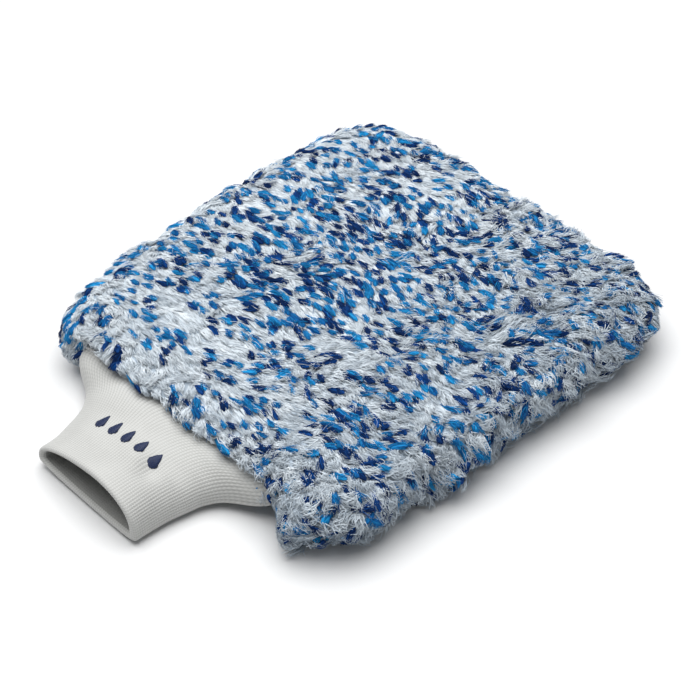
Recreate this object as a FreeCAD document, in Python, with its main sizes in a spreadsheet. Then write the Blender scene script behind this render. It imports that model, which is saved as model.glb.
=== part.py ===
import FreeCAD, Part
import math
import os

import Sketcher

# A plush wash mitt lying flat, in millimetres.
# +X runs from the mouth of the rib-knit cuff to the finger end, +Y across the mitt, +Z up.
# The origin is on the surface that the mitt lies on, under the middle of its outer box.

SIZES = [
    # The pouch: two panels of knitted ground cloth, measured without their pile.
    ("pouch_near_x", -89.0, "edge of the ground cloth on the cuff's side"),
    ("pouch_far_x", 127.0, "edge of the ground cloth at the finger end"),
    ("near_half_width", 89.0, "half the ground cloth's width on the cuff's side"),
    ("far_half_width", 98.0, "half the ground cloth's width at the finger end"),
    ("pouch_corner", 30.0, "plan radius of the ground cloth's corners"),
    ("pouch_edge", 6.0, "radius where a panel turns down to the seam"),
    ("seam_height", 18.0, "height of the seam that joins the two panels"),
    ("crown", 9.0, "how far a panel stands above or below the seam"),
    ("cloth", 0.8, "thickness of the ground cloth"),
    ("split", 0.1, "half the air between an upper and a lower piece at the seam"),
    # The lining of the hand pocket.
    ("lining_inset", 3.6, "distance of the lining inside the ground cloth's outline"),
    ("lining_drop", 1.4, "distance of the lining under the outside of the ground cloth"),
    ("lining", 0.5, "thickness of the lining"),
    # The pile that stands on the ground cloth.
    ("pile_side", 12.0, "pile beyond the ground cloth at the sides and the finger end"),
    ("pile_gap", 0.1, "air between the ground cloth and the pile's inner face"),
    ("pile_upper_edge", 14.0, "edge radius of the upper pile"),
    ("pile_lower_edge", 9.0, "edge radius of the lower pile, which the mitt's weight presses flat"),
    ("pile_corner", 42.0, "plan radius of the pile's corners"),
    # The mouth of the pouch, where the cuff is sewn in.
    ("cuff_y", 13.0, "middle of the cuff across the mitt"),
    ("mouth_half_width", 61.0, "half the width of the pouch's mouth"),
    ("mouth_half_height", 6.8, "half the height of the pouch's mouth"),
    ("mouth_depth", 9.0, "how far the mouth's passage reaches into the pouch"),
    ("mouth_overrun", 3.0, "how far the cut for the passage reaches out of the pouch"),
    ("cuff_clear", 4.0, "room beside the cuff's flare in the pile"),
    ("notch_overrun", 1.0, "how far the cut for the cuff reaches above and below the pile"),
    # Threads.
    ("edge_seam_inset", 1.1, "distance of the edge seam inside the ground cloth's outline"),
    ("edge_seam_width", 2.2, "width of the overlocked edge seam"),
    ("edge_seam_half", 0.9, "half the height of the edge seam"),
    ("edge_seam_round", 0.3, "radius of the edge seam's upper rim"),
    ("join_length", 3.6, "length of the overlocked seam between cuff and pouch"),
    ("join_wall", 1.1, "thickness of that seam"),
    ("join_gap", 0.3, "air between that seam and the pouch's mouth"),
    # The cuff: a rib-knit tube folded double.
    ("cuff_wall", 2.4, "both plies of the folded knit"),
    ("crease_wall", 5.0, "thickness across the knit at its two side creases"),
    ("side_seam_y", 4.0, "the cuff's own seam, across the mitt"),
    ("side_seam_near_x", -136.0, "end of that seam at the fold"),
    ("side_seam_length", 22.0, "length of that seam"),
    ("side_seam_width", 3.0, "width of that seam"),
    ("side_seam_z", 1.4, "underside of that seam"),
    ("side_seam_height", 0.9, "thickness of that seam"),
    ("side_seam_air", 0.2, "air round that seam between the two plies"),
    # The row of embroidered water drops on top of the cuff.
    ("drop_x", -114.5, "middle of a drop's round end along the mitt"),
    ("drop_row_y", 11.0, "middle of the row across the mitt"),
    ("drop_pitch", 9.0, "distance from one drop to the next"),
    ("drop_radius", 2.5, "radius of a drop's round end"),
    ("drop_reach", 5.6, "distance from the round end's centre to the point"),
    ("drop_raise", 0.8, "height of the satin stitches"),
    ("drop_air", 0.15, "air between the stitches and the knit"),
]

# The cuff's cross sections from its mouth to the pouch. A section has two side creases at one
# height, an upper arc that rises above them and a lower arc that drops below them. The lift is
# how much higher the creases of the hollow stand than the creases of the outside.
SECTION_COLUMNS = ["x", "middle", "half_width", "crease", "rise", "drop", "lift"]
CUFF_SECTIONS = [
    (-139.0, 13.5, 33.5, 0.9, 26.3, 0.5, 2.2),
    (-126.0, 12.8, 35.0, 1.2, 25.2, 0.6, 2.1),
    (-106.0, 13.6, 40.5, 3.0, 23.7, 2.2, 0.5),
    (-97.0, 14.0, 47.0, 8.0, 19.0, 5.0, 0.0),
    (-89.6, 13.0, 62.0, 18.0, 9.0, 8.0, 0.0),
]
DROP_COUNT = 5

# An edge is upright where its direction is this near the Z axis, and two heights are the same
# where they differ by less than a micron.
UPRIGHT = 0.99
SAME_HEIGHT = 0.001
# A distance beyond every piece.
CLEAR_OF_ALL = 100.0

os.makedirs("parts", exist_ok=True)
doc = FreeCAD.newDocument("wash_mitt")
sheet = doc.addObject("Spreadsheet::Sheet", "sizes")
cells = list(SIZES)
for number, section in enumerate(CUFF_SECTIONS):
    for column, value in zip(SECTION_COLUMNS, section):
        cells.append((f"section{number}_{column}", value, "a cross section of the cuff"))
for row, (alias, value, meaning) in enumerate(cells, start=1):
    sheet.set(f"A{row}", str(value))
    sheet.setAlias(f"A{row}", alias)
    sheet.set(f"B{row}", meaning)
doc.recompute()

subparts = []


def value_of(expression):
    """The number that an expression over the sheet's cells comes to."""
    return float(sheet.evalExpression(expression.replace("sizes.", "")))


def as_subpart(feature, label):
    feature.Label = label
    subparts.append(feature)
    return feature


def new_sketch(body, role, offset):
    """A sketch on one of the body's origin planes, moved along the plane's normal."""
    plane = next(item for item in body.Origin.OriginFeatures if item.Role == role)
    sketch = body.newObject("Sketcher::SketchObject", body.Name + "_sketch")
    sketch.AttachmentSupport = [(plane, "")]
    sketch.MapMode = "FlatFace"
    sketch.setExpression("AttachmentOffset.Base.z", offset)
    return sketch


def pin_point(sketch, geometry, end, across, up):
    """Fixes one end of a sketch's edge at a place given by two expressions."""
    for kind, expression in (("DistanceX", across), ("DistanceY", up)):
        constraint = Sketcher.Constraint(kind, -1, 1, geometry, end, value_of(expression))
        index = sketch.addConstraint(constraint)
        sketch.setExpression(f"Constraints[{index}]", expression)


def close_loop(sketch, count):
    """Joins the end of each of a sketch's edges to the start of the next."""
    for edge in range(count):
        sketch.addConstraint(Sketcher.Constraint("Coincident", edge, 2, (edge + 1) % count, 1))


def pad_feature(body, sketch, length, downwards=False):
    pad = body.newObject("PartDesign::Pad", body.Name + "_pad")
    pad.Profile = sketch
    pad.setExpression("Length", length)
    pad.Reversed = downwards
    doc.recompute()
    return pad


def fillet_feature(body, base, edges, radius):
    fillet = body.newObject("PartDesign::Fillet", body.Name + "_fillet")
    fillet.Base = (base, edges)
    fillet.setExpression("Radius", radius)
    doc.recompute()
    return fillet


def edges_where(shape, test):
    return [f"Edge{k}" for k, edge in enumerate(shape.Edges, start=1) if test(edge)]


def panel_slab(name, inset, start, thickness, corner, edge, downwards=False):
    """Half of the pouch's pillow shape: its tapered outline moved inwards by inset, padded away
    from the seam, with rounded corners and a rounded rim on the side away from the seam."""
    body = doc.addObject("PartDesign::Body", name)
    sketch = new_sketch(body, "XY_Plane", start)
    near_x = f"sizes.pouch_near_x + {inset}"
    far_x = f"sizes.pouch_far_x - ({inset})"
    near_y = f"sizes.near_half_width - ({inset})"
    far_y = f"sizes.far_half_width - ({inset})"
    corners = [(near_x, f"-({near_y})"), (far_x, f"-({far_y})"), (far_x, far_y), (near_x, near_y)]
    places = [FreeCAD.Vector(value_of(x), value_of(y), 0) for x, y in corners]
    for k, place in enumerate(places):
        sketch.addGeometry(Part.LineSegment(place, places[(k + 1) % len(places)]), False)
    close_loop(sketch, len(corners))
    for k, (x, y) in enumerate(corners):
        pin_point(sketch, k, 1, x, y)
    pad = pad_feature(body, sketch, thickness, downwards)
    upright = edges_where(pad.Shape, lambda e: abs(e.tangentAt(e.FirstParameter).z) > UPRIGHT)
    rounded = fillet_feature(body, pad, upright, corner)
    box = rounded.Shape.BoundBox
    rim_z = box.ZMin if downwards else box.ZMax
    rim = edges_where(
        rounded.Shape,
        lambda e: all(abs(z - rim_z) < SAME_HEIGHT for z in (e.BoundBox.ZMin, e.BoundBox.ZMax)),
    )
    fillet_feature(body, rounded, rim, edge)
    return body


def box_between(name, x, y, z):
    """A box whose low and high places along each axis are expressions."""
    box = doc.addObject("Part::Box", name)
    for axis, size, (low, high) in (("x", "Length", x), ("y", "Width", y), ("z", "Height", z)):
        box.setExpression(f"Placement.Base.{axis}", low)
        box.setExpression(size, f"({high}) - ({low})")
    return box


def cut_away(name, base, *tools):
    """The base without the tools, cut one after another."""
    for number, tool in enumerate(tools):
        cut = doc.addObject("Part::Cut", f"{name}_{number}")
        cut.Base = base
        cut.Tool = tool
        base = cut
    doc.recompute()
    return base


def mouth_passage(name):
    """The space through the pouch's near edge that the hand goes through."""
    return box_between(
        name,
        ("sizes.pouch_near_x - sizes.mouth_overrun", "sizes.pouch_near_x + sizes.mouth_depth"),
        ("sizes.cuff_y - sizes.mouth_half_width", "sizes.cuff_y + sizes.mouth_half_width"),
        (
            "sizes.seam_height - sizes.mouth_half_height",
            "sizes.seam_height + sizes.mouth_half_height",
        ),
    )


def seam_side(downwards):
    """Where the pieces of one side start, just off the height of the seam."""
    return f"sizes.seam_height {'-' if downwards else '+'} sizes.split"


def backing(label, downwards):
    """A panel of ground cloth, open at the mouth."""
    start = seam_side(downwards)
    outer = panel_slab(
        label + "_outside",
        "0",
        start,
        "sizes.crown - sizes.split",
        "sizes.pouch_corner",
        "sizes.pouch_edge",
        downwards,
    )
    inner = panel_slab(
        label + "_inside",
        "sizes.cloth",
        start,
        "sizes.crown - sizes.split - sizes.cloth",
        "sizes.pouch_corner - sizes.cloth",
        "sizes.pouch_edge - sizes.cloth",
        downwards,
    )
    as_subpart(cut_away(label, outer, inner, mouth_passage(label + "_mouth")), label)


def pocket_lining(label, downwards):
    """A panel of the thin knit that lines the hand pocket."""
    start = seam_side(downwards)
    outer = panel_slab(
        label + "_outside",
        "sizes.lining_inset",
        start,
        "sizes.crown - sizes.split - sizes.lining_drop",
        "sizes.pouch_corner - sizes.lining_inset",
        "sizes.pouch_edge - sizes.lining_drop",
        downwards,
    )
    inner = panel_slab(
        label + "_inside",
        "sizes.lining_inset + sizes.lining",
        start,
        "sizes.crown - sizes.split - sizes.lining_drop - sizes.lining",
        "sizes.pouch_corner - sizes.lining_inset - sizes.lining",
        "sizes.pouch_edge - sizes.lining_drop - sizes.lining",
        downwards,
    )
    as_subpart(cut_away(label, outer, inner, mouth_passage(label + "_mouth")), label)


def pile(label, edge, downwards):
    """The tufts of one side, as one closed body round its ground cloth, with a notch for the cuff."""
    start = seam_side(downwards)
    outer = panel_slab(
        label + "_outside",
        "-sizes.pile_side",
        start,
        "sizes.seam_height - sizes.split",
        "sizes.pile_corner",
        edge,
        downwards,
    )
    inner = panel_slab(
        label + "_inside",
        "-sizes.pile_gap",
        start,
        "sizes.crown - sizes.split + sizes.pile_gap",
        "sizes.pouch_corner + sizes.pile_gap",
        "sizes.pouch_edge + sizes.pile_gap",
        downwards,
    )
    reach = "sizes.section4_half_width + sizes.cuff_clear"
    notch = box_between(
        label + "_notch",
        ("sizes.pouch_near_x - 2 * sizes.pile_side", "sizes.pouch_near_x - sizes.pile_gap"),
        (f"sizes.cuff_y - ({reach})", f"sizes.cuff_y + {reach}"),
        ("-sizes.notch_overrun", "2 * sizes.seam_height + sizes.notch_overrun"),
    )
    as_subpart(cut_away(label, outer, inner, notch, mouth_passage(label + "_mouth")), label)


def edge_seam(label):
    """The overlocked band inside the pouch that joins the two panels, open at the mouth."""
    band = []
    for side, inset in (
        ("_outside", "sizes.edge_seam_inset"),
        ("_inside", "sizes.edge_seam_inset + sizes.edge_seam_width"),
    ):
        band.append(
            panel_slab(
                label + side,
                inset,
                "sizes.seam_height - sizes.edge_seam_half",
                "2 * sizes.edge_seam_half",
                "sizes.pouch_corner - (" + inset + ")",
                "sizes.edge_seam_round",
            )
        )
    as_subpart(cut_away(label, band[0], band[1], mouth_passage(label + "_mouth")), label)


def join_seam(label):
    """The overlocked ring inside the pouch's mouth that holds the cuff."""
    body = doc.addObject("PartDesign::Body", label)
    sketch = new_sketch(body, "YZ_Plane", "sizes.pouch_near_x + sizes.join_gap")
    outside = "sizes.join_gap"
    inside = "sizes.join_gap + sizes.join_wall"
    for loop, inset in enumerate((outside, inside)):
        low_y = f"sizes.cuff_y - sizes.mouth_half_width + {inset}"
        high_y = f"sizes.cuff_y + sizes.mouth_half_width - ({inset})"
        low_z = f"sizes.seam_height - sizes.mouth_half_height + {inset}"
        high_z = f"sizes.seam_height + sizes.mouth_half_height - ({inset})"
        corners = [(low_y, low_z), (high_y, low_z), (high_y, high_z), (low_y, high_z)]
        places = [FreeCAD.Vector(value_of(y), value_of(z), 0) for y, z in corners]
        first = loop * len(corners)
        for k, place in enumerate(places):
            sketch.addGeometry(Part.LineSegment(place, places[(k + 1) % len(places)]), False)
        for k, (y, z) in enumerate(corners):
            following = first + (k + 1) % len(corners)
            sketch.addConstraint(Sketcher.Constraint("Coincident", first + k, 2, following, 1))
            pin_point(sketch, first + k, 1, y, z)
    pad_feature(body, sketch, "sizes.join_length")
    as_subpart(body, label)


def section_sketch(body, number, hollow):
    """One cross section of the cuff, or of its hollow, as an upper and a lower arc."""
    cell = f"sizes.section{number}_"
    middle = cell + "middle"
    half_width = cell + "half_width"
    crease = cell + "crease"
    rise = cell + "rise"
    drop = cell + "drop"
    if hollow:
        half_width += " - sizes.crease_wall"
        crease += f" + {cell}lift"
        rise += f" - {cell}lift - sizes.cuff_wall"
        drop += f" + {cell}lift - sizes.cuff_wall"
    sketch = new_sketch(body, "YZ_Plane", cell + "x")
    centre_y = value_of(middle)
    half = value_of(half_width)
    crease_z = value_of(crease)
    bulges = [rise, drop]
    for bulge, side in ((value_of(rise), 1), (value_of(drop), -1)):
        radius = (half**2 + bulge**2) / (2 * bulge)
        centre = FreeCAD.Vector(centre_y, crease_z + side * (bulge - radius), 0)
        start = math.atan2(radius - bulge, half)
        if side < 0:
            start += math.pi
        end = start + 2 * math.atan2(half, radius - bulge)
        circle = Part.Circle(centre, FreeCAD.Vector(0, 0, 1), radius)
        sketch.addGeometry(Part.ArcOfCircle(circle, start, end), False)
    close_loop(sketch, 2)
    pin_point(sketch, 0, 1, f"{middle} + {half_width}", crease)
    pin_point(sketch, 1, 1, f"{middle} - ({half_width})", crease)
    for edge, bulge in enumerate(bulges):
        radius = f"(({half_width})^2 + ({bulge})^2) / (2 * ({bulge}))"
        index = sketch.addConstraint(Sketcher.Constraint("Radius", edge, value_of(radius)))
        sketch.setExpression(f"Constraints[{index}]", radius)
    return sketch


def knit_cuff(label):
    """The folded rib-knit tube, with a sealed slot between its plies for its own seam."""
    body = doc.addObject("PartDesign::Body", label + "_tube")
    for kind, hollow in (("PartDesign::AdditiveLoft", False), ("PartDesign::SubtractiveLoft", True)):
        sections = [section_sketch(body, k, hollow) for k in range(len(CUFF_SECTIONS))]
        doc.recompute()
        loft = body.newObject(kind, label + "_loft")
        loft.Profile = sections[0]
        loft.Sections = sections[1:]
        loft.Ruled = True
        doc.recompute()
    slot = seam_strip(label + "_slot", "sizes.side_seam_air")
    return as_subpart(cut_away(label, body, slot), label)


def seam_strip(name, air):
    """The flat strip of the cuff's own seam, or the slot round it, larger by the air all round."""
    return box_between(
        name,
        (
            f"sizes.side_seam_near_x - {air}",
            f"sizes.side_seam_near_x + sizes.side_seam_length + {air}",
        ),
        (
            f"sizes.side_seam_y - sizes.side_seam_width / 2 - {air}",
            f"sizes.side_seam_y + sizes.side_seam_width / 2 + {air}",
        ),
        (
            f"sizes.side_seam_z - {air}",
            f"sizes.side_seam_z + sizes.side_seam_height + {air}",
        ),
    )


def height_on(shape, x, y):
    """The highest point of a shape over one place."""
    ray = Part.makeLine(FreeCAD.Vector(x, y, -CLEAR_OF_ALL), FreeCAD.Vector(x, y, CLEAR_OF_ALL))
    return shape.common(ray).BoundBox.ZMax


def drop_outline(sketch):
    """A round end and two straight sides that touch it and meet at a point."""
    radius = value_of("sizes.drop_radius")
    reach = value_of("sizes.drop_reach")
    opening = math.acos(radius / reach)
    circle = Part.Circle(FreeCAD.Vector(0, 0, 0), FreeCAD.Vector(0, 0, 1), radius)
    sketch.addGeometry(Part.ArcOfCircle(circle, opening, 2 * math.pi - opening), False)
    low = FreeCAD.Vector(radius * math.cos(opening), -radius * math.sin(opening), 0)
    high = FreeCAD.Vector(low.x, -low.y, 0)
    point = FreeCAD.Vector(reach, 0, 0)
    sketch.addGeometry(Part.LineSegment(low, point), False)
    sketch.addGeometry(Part.LineSegment(point, high), False)
    sketch.addConstraint(Sketcher.Constraint("Tangent", 0, 2, 1, 1))
    sketch.addConstraint(Sketcher.Constraint("Coincident", 1, 2, 2, 1))
    sketch.addConstraint(Sketcher.Constraint("Tangent", 2, 2, 0, 1))
    sketch.addConstraint(Sketcher.Constraint("Coincident", 0, 3, -1, 1))
    sketch.addConstraint(Sketcher.Constraint("PointOnObject", 1, 2, -1))
    for kind, places, expression in (
        ("Radius", (0,), "sizes.drop_radius"),
        ("DistanceX", (-1, 1, 1, 2), "sizes.drop_reach"),
    ):
        index = sketch.addConstraint(Sketcher.Constraint(kind, *places, value_of(expression)))
        sketch.setExpression(f"Constraints[{index}]", expression)


def embroidered_drop(label, y, ground):
    """A satin-stitched water drop, laid on the knit under it with its point to the finger end."""
    body = doc.addObject("PartDesign::Body", label)
    sketch = new_sketch(body, "XY_Plane", "sizes.drop_air")
    drop_outline(sketch)
    pad_feature(body, sketch, "sizes.drop_raise")
    x = value_of("sizes.drop_x")
    reach = value_of("sizes.drop_radius")
    middle = FreeCAD.Vector(x, y, height_on(ground, x, y))
    rise_along = height_on(ground, x + reach, y) - height_on(ground, x - reach, y)
    rise_across = height_on(ground, x, y + reach) - height_on(ground, x, y - reach)
    along = FreeCAD.Vector(2 * reach, 0, rise_along)
    across = FreeCAD.Vector(0, 2 * reach, rise_across)
    upwards = along.cross(across)
    turn = FreeCAD.Rotation(along, across, upwards, "ZXY")
    body.Placement = FreeCAD.Placement(middle, turn)
    as_subpart(body, label)


def check_and_write():
    """Stops if anything in the document failed, then writes each sub-part's file."""
    for item in doc.Objects:
        if {"Invalid", "Error"} & set(item.State):
            raise RuntimeError(f"{item.Label} is {item.State}")
    for feature in subparts:
        shape = feature.Shape
        if shape.isNull() or not shape.isValid() or not shape.Solids:
            raise RuntimeError(f"{feature.Label} has no valid solid")
    for feature in subparts:
        feature.Shape.exportStep(f"parts/{feature.Label}.step")
        box = feature.Shape.BoundBox
        print(
            f"{feature.Label}: {len(feature.Shape.Solids)} solid, {feature.Shape.Volume:.0f} mm3,"
            f" x {box.XMin:.1f} {box.XMax:.1f}, y {box.YMin:.1f} {box.YMax:.1f},"
            f" z {box.ZMin:.1f} {box.ZMax:.1f}"
        )


for side, edge, downwards in (
    ("top", "sizes.pile_upper_edge", False),
    ("bottom", "sizes.pile_lower_edge", True),
):
    pile(side + "_pile", edge, downwards)
    backing(side + "_backing", downwards)
    pocket_lining(side + "_lining", downwards)
edge_seam("edge_seam")
join_seam("cuff_join_seam")
cuff = knit_cuff("rib_cuff")
as_subpart(seam_strip("cuff_seam_strip", "0"), "cuff_side_seam")
doc.recompute()
for number in range(DROP_COUNT):
    from_middle = (number - (DROP_COUNT - 1) / 2) * value_of("sizes.drop_pitch")
    place = value_of("sizes.drop_row_y") + from_middle
    embroidered_drop(f"embroidered_drop_{number + 1}", place, cuff.Shape)
doc.recompute()
check_and_write()
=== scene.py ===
import math

import bpy
import numpy as np
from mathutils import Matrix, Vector


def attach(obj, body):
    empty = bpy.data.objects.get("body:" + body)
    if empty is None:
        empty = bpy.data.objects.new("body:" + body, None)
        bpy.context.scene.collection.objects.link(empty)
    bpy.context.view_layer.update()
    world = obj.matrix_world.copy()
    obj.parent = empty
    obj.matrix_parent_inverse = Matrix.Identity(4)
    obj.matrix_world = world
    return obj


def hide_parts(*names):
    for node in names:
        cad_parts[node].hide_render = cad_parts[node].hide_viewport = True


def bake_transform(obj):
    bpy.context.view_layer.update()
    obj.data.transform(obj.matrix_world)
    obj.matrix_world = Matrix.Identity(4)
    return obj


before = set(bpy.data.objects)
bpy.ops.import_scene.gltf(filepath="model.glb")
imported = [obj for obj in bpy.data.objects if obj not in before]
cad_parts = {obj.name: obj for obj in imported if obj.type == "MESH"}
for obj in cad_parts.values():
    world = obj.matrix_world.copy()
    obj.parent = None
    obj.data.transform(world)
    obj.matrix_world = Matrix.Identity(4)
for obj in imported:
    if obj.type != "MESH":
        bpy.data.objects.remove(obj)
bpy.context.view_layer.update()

# The mitt's looks. Shapes are in millimetres until a mesh is made, and MM turns them into metres.
# The joint's band, the sheets' flat sizes, the lights and the camera are in metres throughout.
# +X runs from the cuff's mouth to the finger end, +Y across the mitt, +Z up.
MM = 0.001
UV_MAP = "OFBake"
ATLAS = 8                # the UV map is a grid of this many cells each way: a cell is a shade
CELL_MARGIN = 0.04       # kept free at each side of a cell
CAP_V = 0.02             # how far from the ends of a cell a tube's flat ends lie
ANY_TURN = (0, 6.3)      # limits of a random angle
FACES_A_PIECE = 180000
TOP_RIBS, UNDER_RIBS, RIB_SAMPLES = 62, 50, 5


# ---------------------------------------------------------------- small tools

def unit(v):
    return v / np.maximum(np.linalg.norm(v, axis=-1, keepdims=True), 1e-12)


def waves(seed, count, shortest, longest):
    """A smooth random field: a sum of sine waves with lengths between two limits. Most of its
    values lie between -1 and 1."""
    own = np.random.default_rng(seed)
    direction = unit(own.normal(size=(count, 3)))
    length = own.uniform(shortest, longest, size=(count, 1))
    phase = own.uniform(0, 2 * math.pi, size=count)
    pull = direction * 2 * math.pi / length

    def field(p):
        return np.sin(p @ pull.T + phase).sum(axis=-1) * math.sqrt(2 / count) / 1.6

    return field


def smooth_step(low, high, x):
    """0 up to low, 1 from high on, and an eased step between. high may be under low."""
    t = np.clip((x - low) / (high - low), 0, 1)
    return t * t * (3 - 2 * t)


def make_mesh(name, points, faces, face_uv, mat):
    """An object from points, groups of faces with the same number of corners, and their UVs."""
    mesh = bpy.data.meshes.new(name)
    mesh.vertices.add(len(points))
    mesh.vertices.foreach_set("co", (np.asarray(points) * MM).ravel().astype(np.float32))
    loops = np.concatenate([group.ravel() for group in faces])
    sizes = np.concatenate([np.full(len(group), group.shape[1]) for group in faces])
    mesh.loops.add(len(loops))
    mesh.loops.foreach_set("vertex_index", loops.astype(np.int32))
    mesh.polygons.add(len(sizes))
    starts = np.concatenate([[0], np.cumsum(sizes)[:-1]])
    mesh.polygons.foreach_set("loop_start", starts.astype(np.int32))
    mesh.polygons.foreach_set("use_smooth", np.ones(len(sizes), bool))
    mesh.update(calc_edges=True)
    layer = mesh.uv_layers.new(name=UV_MAP)
    corners = np.concatenate([group.reshape(-1, 2) for group in face_uv])
    layer.data.foreach_set("uv", corners.ravel().astype(np.float32))
    mesh.materials.append(mat)
    piece = bpy.data.objects.new(name, mesh)
    bpy.context.scene.collection.objects.link(piece)
    return piece


def grid_uv(u, v):
    """The UVs of the quads' corners in a grid with columns at u and rows at v."""
    corners = np.zeros((len(v) - 1, len(u) - 1, 4, 2))
    corners[..., 0] = np.stack([u[:-1], u[1:], u[1:], u[:-1]], axis=-1)
    corners[..., 1] = np.stack([v[:-1], v[:-1], v[1:], v[1:]], axis=-1)[:, None]
    return corners


def tube_mesh(name, rings, mat, cells=None, atlas=ATLAS):
    """One object from many closed tubes. rings is (tubes, rings, sides, 3), and cells is each
    tube's column and row in the UV grid."""
    tubes, count, sides, _ = rings.shape
    index = np.arange(tubes * count * sides).reshape(tubes, count, sides)
    a = index[:, :-1]
    b = np.roll(a, -1, axis=2)
    d = index[:, 1:]
    c = np.roll(d, -1, axis=2)
    quads = np.stack([a, b, c, d], axis=-1).reshape(-1, 4)
    first = index[:, 0, ::-1].reshape(-1, sides)
    last = index[:, -1, :].reshape(-1, sides)
    u = np.arange(sides + 1) / sides
    one_tube = grid_uv(u, np.arange(count) / (count - 1))
    quad_uv = np.broadcast_to(one_tube, (tubes,) + one_tube.shape)
    cap = np.zeros((tubes, sides, 2))
    cap[..., 0] = u[:-1]
    low_cap = cap[:, ::-1] + (0, CAP_V)
    high_cap = cap + (0, 1 - CAP_V)
    place = np.zeros((tubes, 2)) if cells is None else np.asarray(cells, float)
    uvs = []
    for block in (quad_uv, low_cap, high_cap):
        shape = (tubes,) + (1,) * (block.ndim - 2) + (2,)
        in_cell = CELL_MARGIN + (1 - 2 * CELL_MARGIN) * block
        uvs.append((in_cell + place.reshape(shape)) / atlas)
    return make_mesh(name, rings.reshape(-1, 3), [quads, first, last], uvs, mat)


def pile_pieces(name, rings, mat, cells, body):
    """Tubes of pile as pieces of a limited size. body is a body's name, or None for pile that
    lies over the joint between the pouch and the cuff."""
    tubes, count, sides, _ = rings.shape
    triangles = (count - 1) * sides * 2 + 2 * (sides - 2)
    limit = FACES_A_PIECE // triangles
    for number, start in enumerate(range(0, tubes, limit), 1):
        part = slice(start, start + limit)
        piece = tube_mesh(f"{name}_{number}", rings[part], mat, cells[part])
        if body:
            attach(piece, body)
        else:
            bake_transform(piece)


def ring_points(path, across, up, half_a, half_b, sides, ridge=None, twist=None):
    """Rings of tubes round their paths. path, across and up are (tubes, rings, 3), ridge is a
    size for each side, and twist is how far each tube's rings are turned."""
    turn = np.arange(sides) * 2 * math.pi / sides
    angle = np.broadcast_to(turn, path.shape[:2] + (sides,))
    if twist is not None:
        angle = angle + twist[..., None]
    swell = 1.0 if ridge is None else ridge[:, None, :]
    a = (np.cos(angle) * half_a[..., None] * swell)[..., None]
    b = (np.sin(angle) * half_b[..., None] * swell)[..., None]
    return path[:, :, None] + a * across[:, :, None] + b * up[:, :, None]


def frames_along(path, hint):
    """Directions across and above paths, with up near the hint."""
    tangent = unit(np.gradient(path, axis=1))
    across = unit(np.cross(tangent, hint))
    return across, np.cross(across, tangent)


# ---------------------------------------------------------------- materials

def new_material(name, roughness, sheen=0.0, specular=0.3):
    mat = bpy.data.materials.new(name)
    mat.use_nodes = True
    shader = mat.node_tree.nodes["Principled BSDF"]
    shader.inputs["Roughness"].default_value = roughness
    shader.inputs["Sheen Weight"].default_value = sheen
    shader.inputs["Sheen Roughness"].default_value = 0.5
    shader.inputs["Specular IOR Level"].default_value = specular
    return mat, mat.node_tree, shader


def put(tree, socket, value):
    """Sets a socket to a number or colour, or links it to another socket."""
    if isinstance(value, bpy.types.NodeSocket):
        tree.links.new(value, socket)
    elif isinstance(value, tuple) and len(value) == 3 and len(socket.default_value) == 4:
        socket.default_value = (*value, 1)
    else:
        socket.default_value = value


def node(tree, kind, values=None, **settings):
    made = tree.nodes.new(kind)
    for key, value in settings.items():
        setattr(made, key, value)
    for key, value in (values or {}).items():
        put(tree, made.inputs[key], value)
    return made


def maths(tree, operation, a, b=0.0, c=0.0):
    return node(tree, "ShaderNodeMath", {0: a, 1: b, 2: c}, operation=operation).outputs[0]


def ramp(tree, factor, stops):
    made = node(tree, "ShaderNodeValToRGB", {0: factor})
    elements = made.color_ramp.elements
    while len(elements) < len(stops):
        elements.new(0.5)
    for element, (place, colour) in zip(elements, stops):
        element.position = place
        element.color = (*colour, 1)
    return made.outputs[0]


def noise(tree, vector, scale, detail, roughness=0.5):
    values = {"Vector": vector, "Scale": scale, "Detail": detail, "Roughness": roughness}
    return node(tree, "ShaderNodeTexNoise", values, noise_dimensions="2D").outputs[0]


def cycle(tree, turns):
    """A wave between 0 and 1, once a turn."""
    sine = maths(tree, "SINE", maths(tree, "MULTIPLY", turns, 2 * math.pi))
    return maths(tree, "MULTIPLY_ADD", sine, 0.5, 0.5)


def finish_material(tree, shader, tone, stops, height, strength, distance):
    """Colours by tone, and bumps of a size in millimetres."""
    put(tree, shader.inputs["Base Color"], ramp(tree, tone, stops))
    values = {"Height": height, "Strength": strength, "Distance": distance * MM}
    put(tree, shader.inputs["Normal"], node(tree, "ShaderNodeBump", values).outputs[0])


def uv_parts(tree):
    uv = node(tree, "ShaderNodeUVMap", uv_map=UV_MAP).outputs[0]
    parts = node(tree, "ShaderNodeSeparateXYZ", {0: uv})
    return uv, parts.outputs[0], parts.outputs[1]


STREAKS = (14.0, 1.6)    # streaks across and along a cell of the UV grid


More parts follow.
